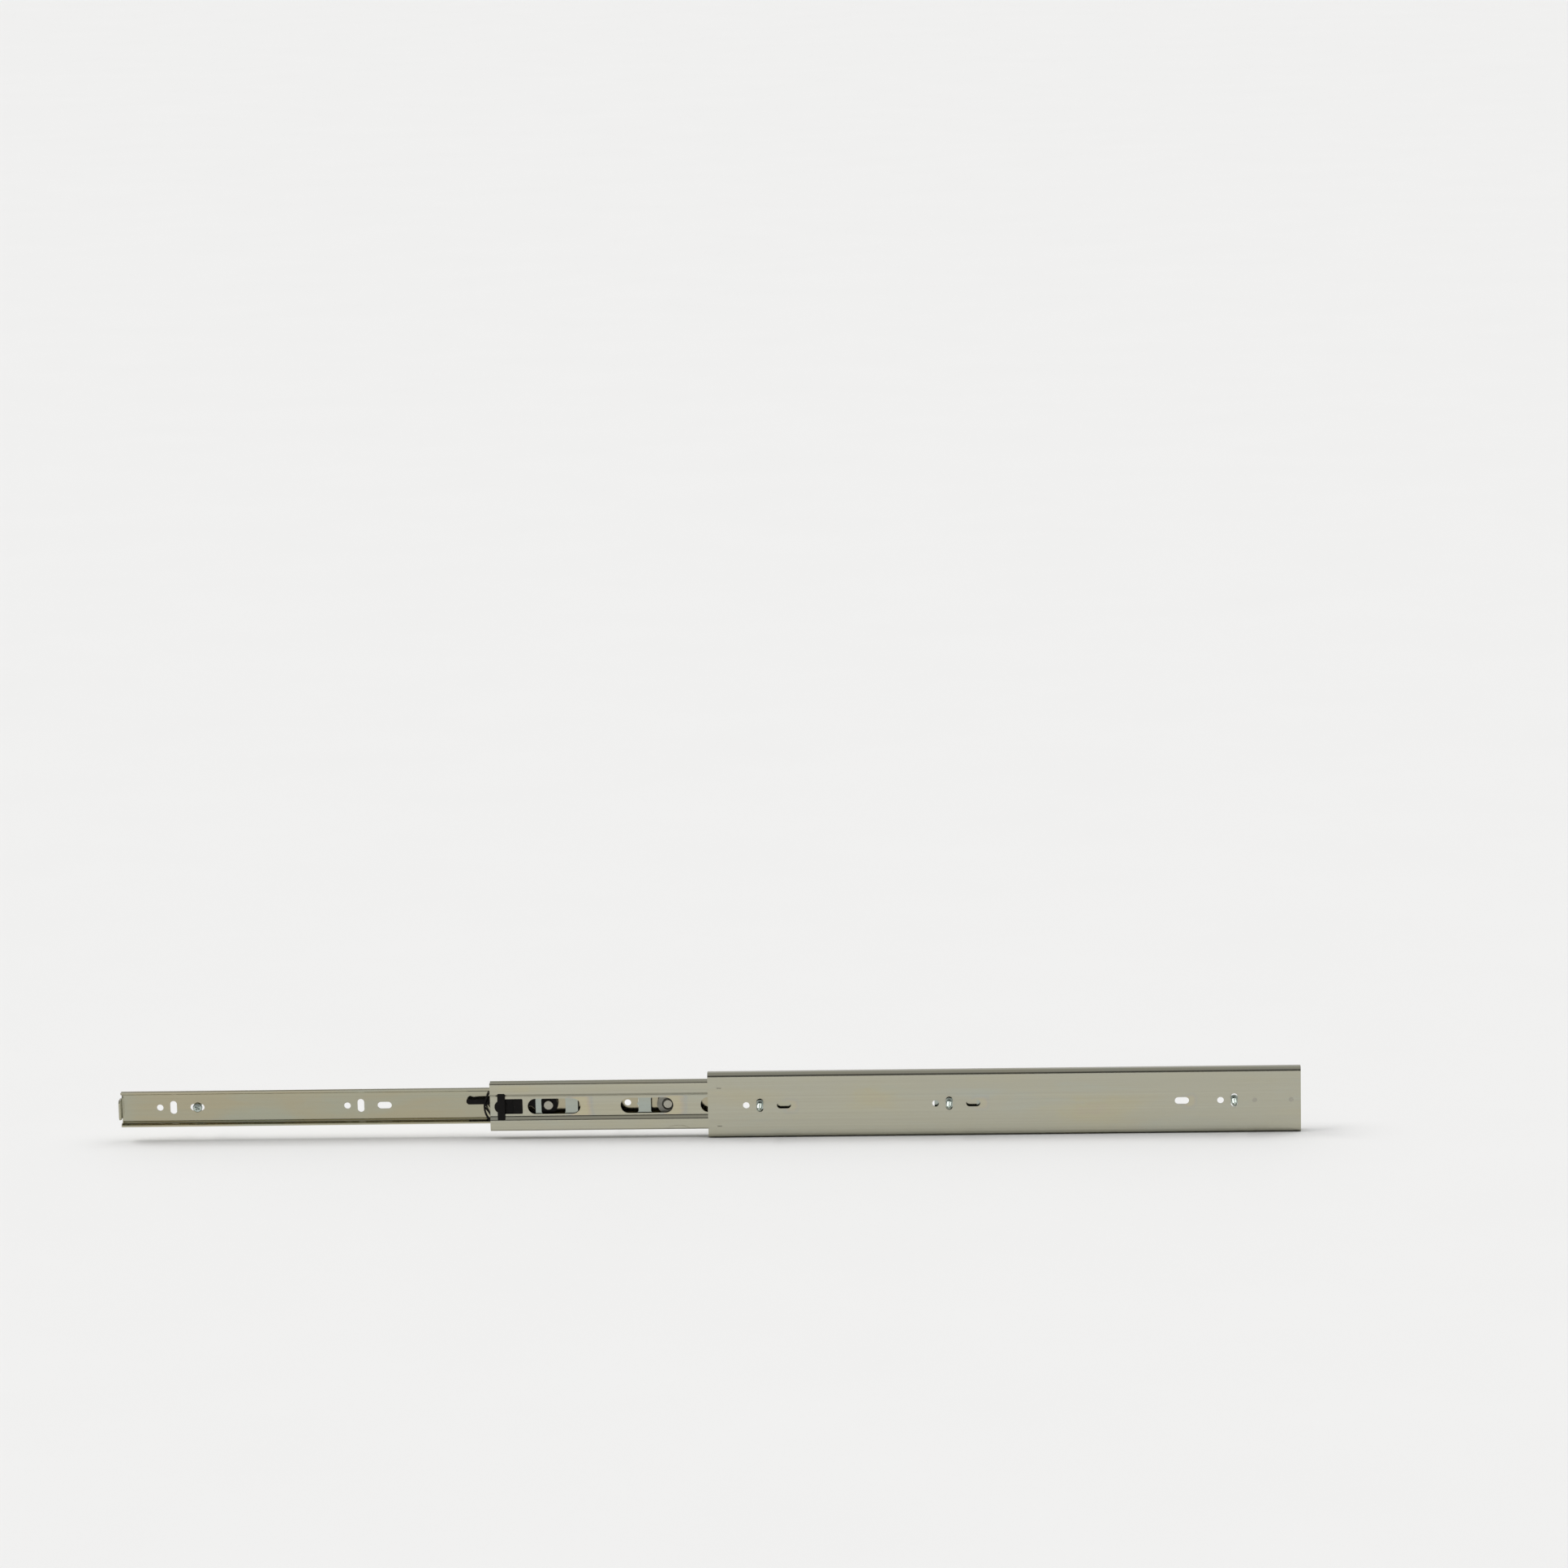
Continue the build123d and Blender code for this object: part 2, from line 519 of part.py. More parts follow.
finger = finger.fillet(0.5, [
    e for e in finger.edges()
    if (abs(e.center().Y - y0) < 1e-6 or abs(e.center().Y - y1) < 1e-6) and e.center().X < p - 27.01
])
lever = fuse(body, hub, finger)
leaf_pts = [(p - 3.0, -5.2), (p - 7.5, -7.4), (p - 21.0, -9.0)]
leaf = strip_xz(leaf_pts, [7.0], 0.75, y0 + 0.5, y1 - 0.5)
slit = poly_xz([(p - 13.6, -2.4), (p - 9.2, -4.7), (p - 9.0, -2.6), (p - 12.0, -0.3), (p - 13.2, -0.3)], y0 - 0.1, y1 + 0.1)
slit = slit.fillet(0.4, y_edges(slit))
lever = cut(lever, disc(p, 0, 2.0, y0 - 1, y1 + 1), leaf, slit)
parts["release_lever"] = lever
parts["lever_spring_leg"] = leaf
parts["lever_rivet"] = turned(
    p, 0,
    [(0.0, web_out), (1.8, web_out), (1.8, 7.35)] + button(3.2, 7.35, 6.3),
)

# detent roller on its shouldered rivet
r = ROLLER_R
parts["detent_roller"] = turned(
    ROLLER_X, 0,
    [(2.05, 11.2), (r - 0.6, 11.2), (r, 10.6), (r, 7.5), ("arc", (r - 0.176, 7.076), (r - 0.6, 6.9)), (4.3, 6.9),
     ("arc", (4.088, 6.988), (4.0, 7.2)), (4.0, 9.4), (3.2, 9.4), (3.2, 7.6), (2.05, 7.6)],
)
parts["detent_rivet"] = turned(
    ROLLER_X, 0,
    [(0.0, web_out), (1.8, web_out), (1.8, 7.35)] + button(3.0, 7.35, 6.3),
)

# ------------------------------------------------------------------ write
os.makedirs("parts", exist_ok=True)
for name, shape in parts.items():
    export_step(shape, f"parts/{name}.step")
    print(name, len(shape.solids()), round(shape.volume, 2))
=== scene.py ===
import bpy
import bmesh
import math
from mathutils import Matrix, Vector


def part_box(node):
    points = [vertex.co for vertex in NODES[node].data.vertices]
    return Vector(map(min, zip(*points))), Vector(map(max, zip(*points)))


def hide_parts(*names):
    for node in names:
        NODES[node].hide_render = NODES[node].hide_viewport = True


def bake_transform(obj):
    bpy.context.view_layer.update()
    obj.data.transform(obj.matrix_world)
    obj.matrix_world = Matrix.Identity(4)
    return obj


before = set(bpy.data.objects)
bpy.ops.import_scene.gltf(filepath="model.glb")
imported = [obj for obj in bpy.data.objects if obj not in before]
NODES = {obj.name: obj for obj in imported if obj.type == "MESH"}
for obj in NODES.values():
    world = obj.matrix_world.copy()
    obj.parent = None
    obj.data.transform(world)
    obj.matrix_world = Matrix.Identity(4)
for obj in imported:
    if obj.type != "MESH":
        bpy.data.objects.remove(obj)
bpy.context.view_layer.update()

SCENE = bpy.context.scene
MM = 0.001


# ------------------------------------------------------------------ node helpers
class Graph:
    """A material's node tree, built with short calls. Places are in metres (object coordinates)."""

    def __init__(self, name):
        self.mat = bpy.data.materials.new(name)
        self.mat.use_nodes = True
        self.t = self.mat.node_tree
        self.t.nodes.clear()
        self.out = self.t.nodes.new("ShaderNodeOutputMaterial")
        self.bsdf = self.t.nodes.new("ShaderNodeBsdfPrincipled")
        self.t.links.new(self.bsdf.outputs[0], self.out.inputs["Surface"])
        self.tc = self.t.nodes.new("ShaderNodeTexCoord")
        self.pos = self.tc.outputs["Object"]

    def new(self, kind):
        return self.t.nodes.new(kind)

    def put(self, socket, value):
        if hasattr(value, "is_output"):
            self.t.links.new(value, socket)
        elif value is not None:
            socket.default_value = value

    def mapping(self, vec, scale=(1, 1, 1), loc=(0, 0, 0), rot=(0, 0, 0)):
        n = self.new("ShaderNodeMapping")
        self.put(n.inputs["Vector"], vec)
        n.inputs["Location"].default_value = loc
        n.inputs["Rotation"].default_value = rot
        n.inputs["Scale"].default_value = scale
        return n.outputs[0]

    def noise(self, vec, scale=1.0, detail=3.0, rough=0.5, distort=0.0):
        n = self.new("ShaderNodeTexNoise")
        self.put(n.inputs["Vector"], vec)
        n.inputs["Scale"].default_value = scale
        n.inputs["Detail"].default_value = detail
        n.inputs["Roughness"].default_value = rough
        n.inputs["Distortion"].default_value = distort
        return n.outputs["Fac"]

    def voronoi(self, vec, scale=1.0, feature="F1", smooth=0.0):
        n = self.new("ShaderNodeTexVoronoi")
        n.feature = feature
        self.put(n.inputs["Vector"], vec)
        n.inputs["Scale"].default_value = scale
        return n.outputs["Distance"]

    def m(self, op, a, b=0.0, c=None, clamp=False):
        n = self.new("ShaderNodeMath")
        n.operation = op
        n.use_clamp = clamp
        self.put(n.inputs[0], a)
        self.put(n.inputs[1], b)
        if c is not None:
            self.put(n.inputs[2], c)
        return n.outputs[0]

    def remap(self, v, a, b, c, d, smooth=False):
        n = self.new("ShaderNodeMapRange")
        n.interpolation_type = "SMOOTHSTEP" if smooth else "LINEAR"
        n.clamp = True
        self.put(n.inputs["Value"], v)
        for k, x in zip(("From Min", "From Max", "To Min", "To Max"), (a, b, c, d)):
            self.put(n.inputs[k], x)
        return n.outputs[0]

    def ramp(self, v, stops, mode="LINEAR"):
        n = self.new("ShaderNodeValToRGB")
        n.color_ramp.interpolation = mode
        el = n.color_ramp.elements
        while len(el) < len(stops):
            el.new(0.5)
        for e, (p, c) in zip(el, stops):
            e.position = p
            e.color = (*c, 1.0) if len(c) == 3 else c
        self.put(n.inputs["Fac"], v)
        return n.outputs["Color"]

    def mix(self, fac, a, b, mode="MIX"):
        n = self.new("ShaderNodeMix")
        n.data_type = "RGBA"
        n.blend_type = mode
        n.clamp_factor = True
        self.put(n.inputs["Factor"], fac)
        col = [s for s in n.inputs if s.type == "RGBA"]
        for s, v in zip(col, (a, b)):
            self.put(s, (*v, 1.0) if isinstance(v, tuple) and len(v) == 3 else v)
        return [s for s in n.outputs if s.type == "RGBA"][0]

    def xyz(self, vec=None):
        n = self.new("ShaderNodeSeparateXYZ")
        self.put(n.inputs[0], self.pos if vec is None else vec)
        return n.outputs[0], n.outputs[1], n.outputs[2]

    def normal(self):
        n = self.new("ShaderNodeNewGeometry")
        return n.outputs["Normal"]

    def bump(self, height, distance, strength=1.0, below=None):
        n = self.new("ShaderNodeBump")
        n.inputs["Strength"].default_value = strength
        n.inputs["Distance"].default_value = distance
        self.put(n.inputs["Height"], height)
        if below is not None:
            self.put(n.inputs["Normal"], below)
        return n.outputs[0]

    def band(self, v, centre, half, soft):
        """1 near centre, falling to 0 beyond half over soft."""
        d = self.m("ABSOLUTE", self.m("SUBTRACT", v, centre))
        return self.remap(d, half, half + soft, 1.0, 0.0, smooth=True)

    def set(self, **kw):
        for k, v in kw.items():
            self.put(self.bsdf.inputs[k.replace("_", " ")], v)


def lin(r, g, b):
    """sRGB 0-255 to linear."""
    def f(c):
        c /= 255.0
        return c / 12.92 if c <= 0.04045 else ((c + 0.055) / 1.055) ** 2.4
    return (f(r), f(g), f(b))


# ------------------------------------------------------------------ materials
FILM = [  # tint of the passivation film as it thickens
    (0.00, (1.00, 1.00, 1.00)), (0.20, (1.01, 1.00, 0.965)), (0.38, (1.035, 1.0, 0.90)),
    (0.50, (1.035, 0.968, 0.935)), (0.60, (0.965, 0.965, 1.035)), (0.72, (0.93, 0.985, 1.035)),
    (0.86, (0.955, 1.015, 1.0)), (1.00, (1.0, 1.0, 0.97))]


def spots(g, x, z, places, seed):
    """Sum of soft-edged, ragged blots; places are (x, z, half length, half height, amount) in metres."""
    total = None
    wob = g.noise(g.mapping(g.pos, (75.0, 130.0, 130.0), (seed, 8.0, 3.0)), 1.0, 4.0, 0.6, 1.0)
    shift = g.m("MULTIPLY", g.m("SUBTRACT", wob, 0.5), 1.5)
    for fx, fz, sx, sz, amount in places:
        dx = g.m("ADD", g.m("DIVIDE", g.m("SUBTRACT", x, fx), sx), shift)
        dz = g.m("ADD", g.m("DIVIDE", g.m("SUBTRACT", z, fz), sz), g.m("MULTIPLY", shift, -0.8))
        d2 = g.m("ADD", g.m("MULTIPLY", dx, dx), g.m("MULTIPLY", dz, dz))
        v = g.m("MULTIPLY", g.m("POWER", 2.718, g.m("MULTIPLY", d2, -1.0)), amount)
        total = v if total is None else g.m("ADD", total, v)
    return g.m("MULTIPLY", total, g.m("ADD", g.m("MULTIPLY", wob, 0.9), 0.55))


def scuff(g, x, z, x0, x1, peak_x, peak_z, bow, skew, width, amount, seed):
    """A soft smear along X on a bowed line (bow and skew: fall per metre squared and cubed); 0 to amount."""
    t = g.m("DIVIDE", g.m("SUBTRACT", x, x0), x1 - x0)
    dx = g.m("SUBTRACT", x, peak_x)
    dx2 = g.m("MULTIPLY", dx, dx)
    fall = g.m("ADD", g.m("MULTIPLY", dx2, bow), g.m("MULTIPLY", g.m("MULTIPLY", dx2, dx), skew))
    wob = g.noise(g.mapping(g.pos, (260.0, 260.0, 260.0), (seed, 2.0, 4.0)), 1.0, 2.0, 0.5)
    line = g.m("ADD", g.m("SUBTRACT", peak_z, fall), g.m("MULTIPLY", g.m("SUBTRACT", wob, 0.5), 0.0005))
    thick = g.m("MULTIPLY", width, g.m("ADD", 0.45, g.m("MULTIPLY", wob, 1.1)))
    off = g.m("DIVIDE", g.m("ABSOLUTE", g.m("SUBTRACT", z, line)), thick)
    on = g.remap(off, 0.0, 1.3, 1.0, 0.0, smooth=True)
    ends = g.m("MULTIPLY", g.remap(t, 0.0, 0.35, 0.0, 1.0, smooth=True), g.remap(t, 0.88, 1.0, 1.0, 0.0, smooth=True))
    broken = g.remap(g.noise(g.mapping(g.pos, (500.0, 500.0, 1800.0), (seed, 6.0, 1.0)), 1.0, 4.0, 0.6), 0.34, 0.58, 0.35, 1.0)
    return g.m("MULTIPLY", g.m("MULTIPLY", g.m("MULTIPLY", on, ends), broken), amount)


def grey(g, v):
    c = g.new("ShaderNodeCombineColor")
    for i in range(3):
        g.put(c.inputs[i], v)
    return c.outputs[0]


def blush(g, x, z, fx, fz, sx, sz, limit, seed, ragged=0.42):
    """Ragged, blunt-ended patch, no higher than limit: 0 outside, 1 inside, rising over its border."""
    wob = g.noise(g.mapping(g.pos, (110.0, 190.0, 190.0), (seed, 8.0, 3.0)), 1.0, 5.0, 0.62, 0.8)
    dx = g.m("DIVIDE", g.m("SUBTRACT", x, fx), sx)
    dz = g.m("DIVIDE", g.m("SUBTRACT", z, fz), sz)
    d = g.m("POWER", g.m("ADD", g.m("POWER", g.m("ABSOLUTE", dx), 3.0), g.m("POWER", g.m("ABSOLUTE", dz), 3.0)), 0.3333)
    d = g.m("ADD", d, g.m("MULTIPLY", g.m("SUBTRACT", wob, 0.5), 2.0 * ragged))
    return g.m("MULTIPLY", g.remap(d, 0.40, 1.30, 1.0, 0.0), g.remap(g.m("ABSOLUTE", z), limit - 0.0005, limit + 0.0005, 1.0, 0.0))


BLUSH = [  # colours met from the rim of a drain mark to its middle
    (0.00, (1.0, 1.0, 1.0)), (0.12, (0.985, 0.985, 1.025)), (0.28, (0.900, 0.938, 1.045)), (0.46, (0.975, 0.955, 1.02)),
    (0.66, (1.075, 0.98, 0.96)), (0.84, (1.13, 1.055, 0.92)), (1.00, (1.13, 1.065, 0.93))]


def zinc(name, base, cool, warm, rough=0.22, seed=0.0, streak=0.05, film=(), film_all=0.30, chill=(), marks=(),
         blushes=(), tracks=(), bend_rough_and_painted_lift=(), sheared=True, folded=None):
    """Zinc-plated cold-rolled strip: roll lines along its length, slow drifts of the passivated
    colour, handling haze, film blushes, burnished lines where the balls run, grainy sheared faces."""
    g = Graph(name)
    x, y, z = g.xyz()
    roll = g.noise(g.mapping(g.pos, (1.6, 950.0, 950.0), (seed, seed, seed)), 1.0, 3.0, 0.65)
    fine = g.noise(g.mapping(g.pos, (30.0, 2600.0, 2600.0), (seed, 3.0, seed)), 1.0, 3.0, 0.6)
    tint = g.noise(g.mapping(g.pos, (8.0, 42.0, 42.0), (seed * 1.7, 2.0, 5.0)), 1.0, 3.5, 0.55, 0.6)
    haze = g.noise(g.mapping(g.pos, (32.0, 70.0, 70.0), (4.0, seed, 1.0)), 1.0, 5.0, 0.62, 1.2)
    grain = g.noise(g.pos, 4200.0, 2.0, 0.5)
    speck = g.noise(g.mapping(g.pos, (700.0, 700.0, 700.0), (seed, 1.0, 9.0)), 1.0, 2.0, 0.5)

    col = g.ramp(tint, [(0.32, cool), (0.48, base), (0.56, base), (0.72, warm)])
    if chill:
        col = g.mix(spots(g, x, z, chill, seed + 2.0), col, cool)
    thick = g.m("MULTIPLY", g.m("SUBTRACT", haze, 0.30), film_all)
    if film:
        thick = g.m("ADD", thick, spots(g, x, z, film, seed))
    col = g.mix(1.0, col, g.ramp(thick, FILM), "MULTIPLY")
    for i, (fx, fz, sx, sz, limit, amount) in enumerate(blushes):
        col = g.mix(amount, col, g.ramp(blush(g, x, z, fx, fz, sx, sz, limit, seed + 1.9 * i), BLUSH), "MULTIPLY")
    shade = g.m("ADD", g.m("MULTIPLY", g.m("SUBTRACT", roll, 0.5), streak * 2.2), 1.0)
    shade = g.m("ADD", shade, g.m("MULTIPLY", g.m("SUBTRACT", fine, 0.5), streak * 1.2))
    shade = g.m("MULTIPLY", shade, g.remap(speck, 0.70, 0.80, 1.0, 0.90))
    r = g.m("ADD", rough, g.m("MULTIPLY", g.m("SUBTRACT", haze, 0.5), 0.09))
    r = g.m("ADD", r, g.m("MULTIPLY", g.m("SUBTRACT", fine, 0.5), 0.07))
    for ty, half, zmin in tracks:
        away = g.m("ABSOLUTE", g.m("SUBTRACT", y, ty))
        wob = g.m("ADD", away, g.m("MULTIPLY", g.m("SUBTRACT", haze, 0.5), half * 0.7))
        there = g.remap(g.m("ABSOLUTE", z), zmin, zmin + 0.0002, 0.0, 1.0)
        core = g.m("MULTIPLY", g.remap(wob, half * 0.55, half, 1.0, 0.0, smooth=True), there)
        rim = g.m("MULTIPLY", g.m("MULTIPLY", g.remap(wob, half * 0.8, half * 1.25, 0.0, 1.0, smooth=True),
                                  g.remap(wob, half * 1.3, half * 2.4, 1.0, 0.0, smooth=True)), there)
        shade = g.m("MULTIPLY", shade, g.m("ADD", 1.0, g.m("SUBTRACT", g.m("MULTIPLY", core, 0.10), g.m("MULTIPLY", rim, 0.16))))
        r = g.m("ADD", r, g.m("SUBTRACT", g.m("MULTIPLY", rim, 0.10), g.m("MULTIPLY", core, 0.06)))
    for y0, y1, soften, painted_lift in bend_rough_and_painted_lift:  # inside a bend the stretched skin is matter (rougher), and its colour is also brightened as painted light to lift the band that reflection darkens there
        inside = g.remap(g.m("MULTIPLY", g.xyz(g.normal())[2], z), -0.0002, -0.0008, 0.0, 1.0)
        there = g.m("MULTIPLY", g.remap(y, y0 - 0.0004, y0 + 0.0004, 0.0, 1.0), g.remap(y, y1 - 0.0001, y1, 1.0, 0.0))
        there = g.m("MULTIPLY", there, inside)
        r = g.m("ADD", r, g.m("MULTIPLY", there, soften))
        # painted light: the colour inside the bend is multiplied by the lift factor, a painted brightening of its dark
        # reflected band
        shade = g.m("MULTIPLY", shade, g.m("ADD", 1.0, g.m("MULTIPLY", there, painted_lift - 1.0)))
    col = g.mix(1.0, col, grey(g, shade), "MULTIPLY")
    for mk in marks:
        col = g.mix(scuff(g, x, z, *mk), col, tuple(c * k for c, k in zip(base, (0.42, 0.40, 0.34))))
    h = g.m("ADD", g.m("MULTIPLY", roll, 0.7), g.m("ADD", g.m("MULTIPLY", fine, 0.22), g.m("MULTIPLY", grain, 0.08)))
    if sheared:
        nx, ny, nz = g.xyz(g.normal())
        ends = g.remap(g.m("ABSOLUTE", nx), 0.80, 0.92, 0.0, 1.0)
        walls = g.m("MULTIPLY", g.remap(g.m("ABSOLUTE", ny), 0.10, 0.25, 1.0, 0.0), g.remap(g.m("ABSOLUTE", z), 0.0078, 0.0081, 1.0, 0.0))
        shear = g.m("MAXIMUM", ends, walls)
        if folded:
            clear = g.m("MAXIMUM", g.m("GREATER_THAN", x, folded[0]), g.m("GREATER_THAN", g.m("ABSOLUTE", z), folded[1]))
            shear = g.m("MULTIPLY", shear, clear)
        torn = g.noise(g.mapping(g.pos, (1500.0, 520.0, 1500.0), (seed, 5.0, 2.0)), 1.0, 4.0, 0.65)
        col = g.mix(g.m("MULTIPLY", shear, 0.55), col, g.ramp(torn, [(0.3, tuple(c * 0.62 for c in cool)), (0.7, tuple(c * 1.08 for c in cool))]))
        r = g.m("ADD", r, g.m("MULTIPLY", shear, 0.16))
        h = g.m("ADD", h, g.m("MULTIPLY", g.m("MULTIPLY", shear, torn), 3.0))
    g.put(g.bsdf.inputs["Base Color"], col)
    g.bsdf.inputs["Metallic"].default_value = 1.0
    g.put(g.bsdf.inputs["Roughness"], g.m("MAXIMUM", r, 0.06))
    g.put(g.bsdf.inputs["Normal"], g.bump(h, 0.000012, 0.35))
    return g.mat


def bright(name, base, rough=0.24, seed=0.0, scale=420.0, dark=0.62):
    """Small headed or turned steel pieces: tumbling dings, a little grime, fine marks."""
    g = Graph(name)
    n1 = g.noise(g.mapping(g.pos, (scale, scale, scale), (seed, 1.0, 2.0)), 1.0, 5.0, 0.6, 0.4)
    n2 = g.noise(g.mapping(g.pos, (2100.0, 2100.0, 2100.0), (seed, 1.0, 2.0)), 1.0, 3.0, 0.5)
    col = g.ramp(n1, [(0.25, tuple(c * dark for c in base)), (0.47, base), (0.8, tuple(min(1.0, c * 1.10) for c in base))])
    g.put(g.bsdf.inputs["Base Color"], col)
    g.bsdf.inputs["Metallic"].default_value = 1.0
    g.put(g.bsdf.inputs["Roughness"], g.m("ADD", rough, g.m("MULTIPLY", g.m("SUBTRACT", n1, 0.5), 0.22)))
    g.put(g.bsdf.inputs["Normal"], g.bump(g.m("ADD", g.m("MULTIPLY", n1, 0.6), g.m("MULTIPLY", n2, 0.4)), 0.000016, 0.4))
    return g.mat


def moulded(name, base, worn, rough=0.42, seed=0.0, grain=2400.0, depth=0.000016, spec=0.35):
    """Injection-moulded plastic: fine spark texture, rubbed patches, dust."""
    g = Graph(name)
    cells = g.noise(g.mapping(g.pos, (grain,) * 3, (seed, 2.0, 1.0)), 1.0, 3.0, 0.55)
    rub = g.noise(g.mapping(g.pos, (150.0, 240.0, 240.0), (3.0, seed, 1.0)), 1.0, 4.0, 0.6, 0.5)
    dust = g.noise(g.mapping(g.pos, (620.0,) * 3, (seed, 7.0, 1.0)), 1.0, 6.0, 0.7)
    col = g.ramp(g.m("ADD", g.m("MULTIPLY", rub, 0.7), g.m("MULTIPLY", dust, 0.3)),
                 [(0.30, tuple(c * 0.75 for c in base)), (0.50, base), (0.72, worn)])
    g.put(g.bsdf.inputs["Base Color"], col)
    g.bsdf.inputs["Specular IOR Level"].default_value = spec
    g.put(g.bsdf.inputs["Roughness"], g.m("ADD", rough, g.m("MULTIPLY", g.m("SUBTRACT", rub, 0.5), 0.30)))
    g.put(g.bsdf.inputs["Normal"], g.bump(cells, depth, 0.5))
    return g.mat


M = {}
# the drawer's bend entry brightens the colour of the inner flange bends as painted light (x2.15) and makes them rougher
M["zinc_drawer"] = zinc(
    "zinc_drawer_mat", (0.418, 0.384, 0.273), (0.394, 0.397, 0.313), (0.428, 0.382, 0.270), 0.125, 1.3, 0.065,
    chill=((-0.397, 0.0, 0.006, 0.02, 0.6), (-0.255, 0.001, 0.022, 0.010, 0.8), (-0.160, -0.004, 0.016, 0.009, 0.5)),
    tracks=((0.0088, 0.00042, 0.0098),), bend_rough_and_painted_lift=((0.0094, 0.01152, 0.06, 2.15),), folded=(-0.3965, 0.0071))
M["zinc_intermediate"] = zinc(
    "zinc_intermediate_mat", (0.450, 0.438, 0.349), (0.432, 0.447, 0.381), (0.461, 0.438, 0.329), 0.14, 4.1, 0.10,
    film=((0.045, 0.0, 0.012, 0.009, 0.4), (-0.128, 0.0125, 0.02, 0.003, 0.35)),
    blushes=((-0.0866, 0.0, 0.0080, 0.0120, 0.0068, 0.85), (-0.0236, 0.0, 0.0082, 0.0120, 0.0068, 0.8),
             (0.0304, 0.0, 0.0076, 0.0120, 0.0068, 0.7), (0.0935, 0.0, 0.0084, 0.0120, 0.0068, 0.7), (0.1575, 0.0, 0.0078, 0.0120, 0.0068, 0.7)),
    marks=((-0.0295, -0.0108, -0.0205, -0.01383, 26.1, 808.0, 0.00036, 0.55, 3.0), (-0.0315, -0.0232, -0.0270, -0.01575, 6.0, 0.0, 0.00034, 0.36, 8.0)),
    tracks=((0.0059, 0.00046, 0.0150),))
M["zinc_cabinet"] = zinc(
    "zinc_cabinet_mat", (0.444, 0.434, 0.351), (0.427, 0.442, 0.385), (0.456, 0.434, 0.330), 0.16, 7.7, 0.08,
    film=((0.112, 0.004, 0.02, 0.010, 0.35), (0.262, -0.006, 0.03, 0.011, 0.40)),
    blushes=((0.0563, -0.0006, 0.0050, 0.0046, 0.02, 0.45), (0.1842, 0.0, 0.0054, 0.0048, 0.02, 0.45), (0.3248, -0.0004, 0.0049, 0.0047, 0.02, 0.45)))
M["zinc_cage"] = zinc("zinc_cage_mat", (0.398, 0.440, 0.400), (0.388, 0.442, 0.424), (0.416, 0.438, 0.378), 0.22, 2.9, 0.07, sheared=False)
M["screw_zinc"] = bright("screw_zinc_mat", (0.50, 0.56, 0.512), 0.32, 0.7, 420.0, 0.80)
M["rivet_steel"] = bright("rivet_steel_mat", (0.40, 0.388, 0.325), 0.26, 5.1, 420.0, 0.85)
M["ball_steel"] = bright("ball_steel_mat", (0.57, 0.56, 0.54), 0.10, 2.2, 260.0, 0.75)
M["black_plastic"] = moulded("black_plastic_mat", (0.0050, 0.0040, 0.0033), (0.0110, 0.0095, 0.0082), 0.40, 1.0, 2400.0, 0.000016, 0.14)
M["black_rubber"] = moulded("black_rubber_mat", (0.012, 0.011, 0.010), (0.026, 0.025, 0.024), 0.72, 3.0, 1900.0, 0.00003, 0.3)
M["grey_nylon"] = moulded("grey_nylon_mat", (0.37, 0.365, 0.305), (0.42, 0.415, 0.355), 0.38, 6.0, 2400.0, 0.000012, 0.5)

SLOT_OF = {
    "cabinet_member": "zinc_cabinet", "intermediate_member": "zinc_intermediate", "drawer_member": "zinc_drawer",
    "outer_ball_retainer": "zinc_cage", "inner_ball_retainer": "zinc_cage",
    "outer_balls_upper": "ball_steel", "outer_balls_lower": "ball_steel",
    "inner_balls_upper": "ball_steel", "inner_balls_lower": "ball_steel",
    "cabinet_screws": "screw_zinc", "drawer_screws": "screw_zinc",
    "rear_catch": "black_plastic", "rear_buffer": "black_rubber", "rear_catch_rivets": "rivet_steel",
    "front_bumper": "black_plastic", "release_lever": "black_plastic", "lever_spring_leg": "black_plastic",
    "lever_rivet": "rivet_steel", "detent_roller": "grey_nylon", "detent_rivet": "rivet_steel",
}
for node, key in SLOT_OF.items():
    mesh = NODES[node].data
    for i in range(len(mesh.materials)):
        mesh.materials[i] = M[key]
    if not mesh.materials:
        mesh.materials.append(M[key])

# ------------------------------------------------------------------ spring leaf of the lever
def ribbon(name, path, half_w, half_t, y_mid, bevel, mat):
    """A flat bar with rolled edges, bent along a path in the XZ plane; its width lies along Y."""
    section = []
    for cy, ct, a0 in ((1, 1, 0), (-1, 1, 90), (-1, -1, 180), (1, -1, 270)):
        for k in range(4):
            a = math.radians(a0 + 30 * k)
            section.append((cy * (half_w - bevel) + bevel * math.cos(a), ct * (half_t - bevel) + bevel * math.sin(a)))
    bm = bmesh.new()
    rings = []
    n = len(path)
    for i, (px, pz) in enumerate(path):
        qa, qb = path[max(0, i - 1)], path[min(n - 1, i + 1)]
        t = Vector((qb[0] - qa[0], 0.0, qb[1] - qa[1])).normalized()
        nrm = Vector((-t.z, 0.0, t.x))
        edge = min(i, n - 1 - i)
        k = (0.80, 0.95, 1.0)[min(edge, 2)]
        rings.append([bm.verts.new(Vector((px, y_mid, pz)) + Vector((0, w * k, 0)) + nrm * (h * k)) for w, h in section])
    m = len(section)
    for ra, rb in zip(rings, rings[1:]):
        for j in range(m):
            bm.faces.new((ra[j], ra[(j + 1) % m], rb[(j + 1) % m], rb[j]))
    bm.faces.new(list(reversed(rings[0])))
    bm.faces.new(rings[-1])
    bmesh.ops.recalc_face_normals(bm, faces=bm.faces)
    me = bpy.data.meshes.new(name)
    bm.to_mesh(me)
    bm.free()
    for q in me.polygons:
        q.use_smooth = True
    me.materials.append(mat)
    o = bpy.data.objects.new(name, me)
    SCENE.collection.objects.link(o)
    return o


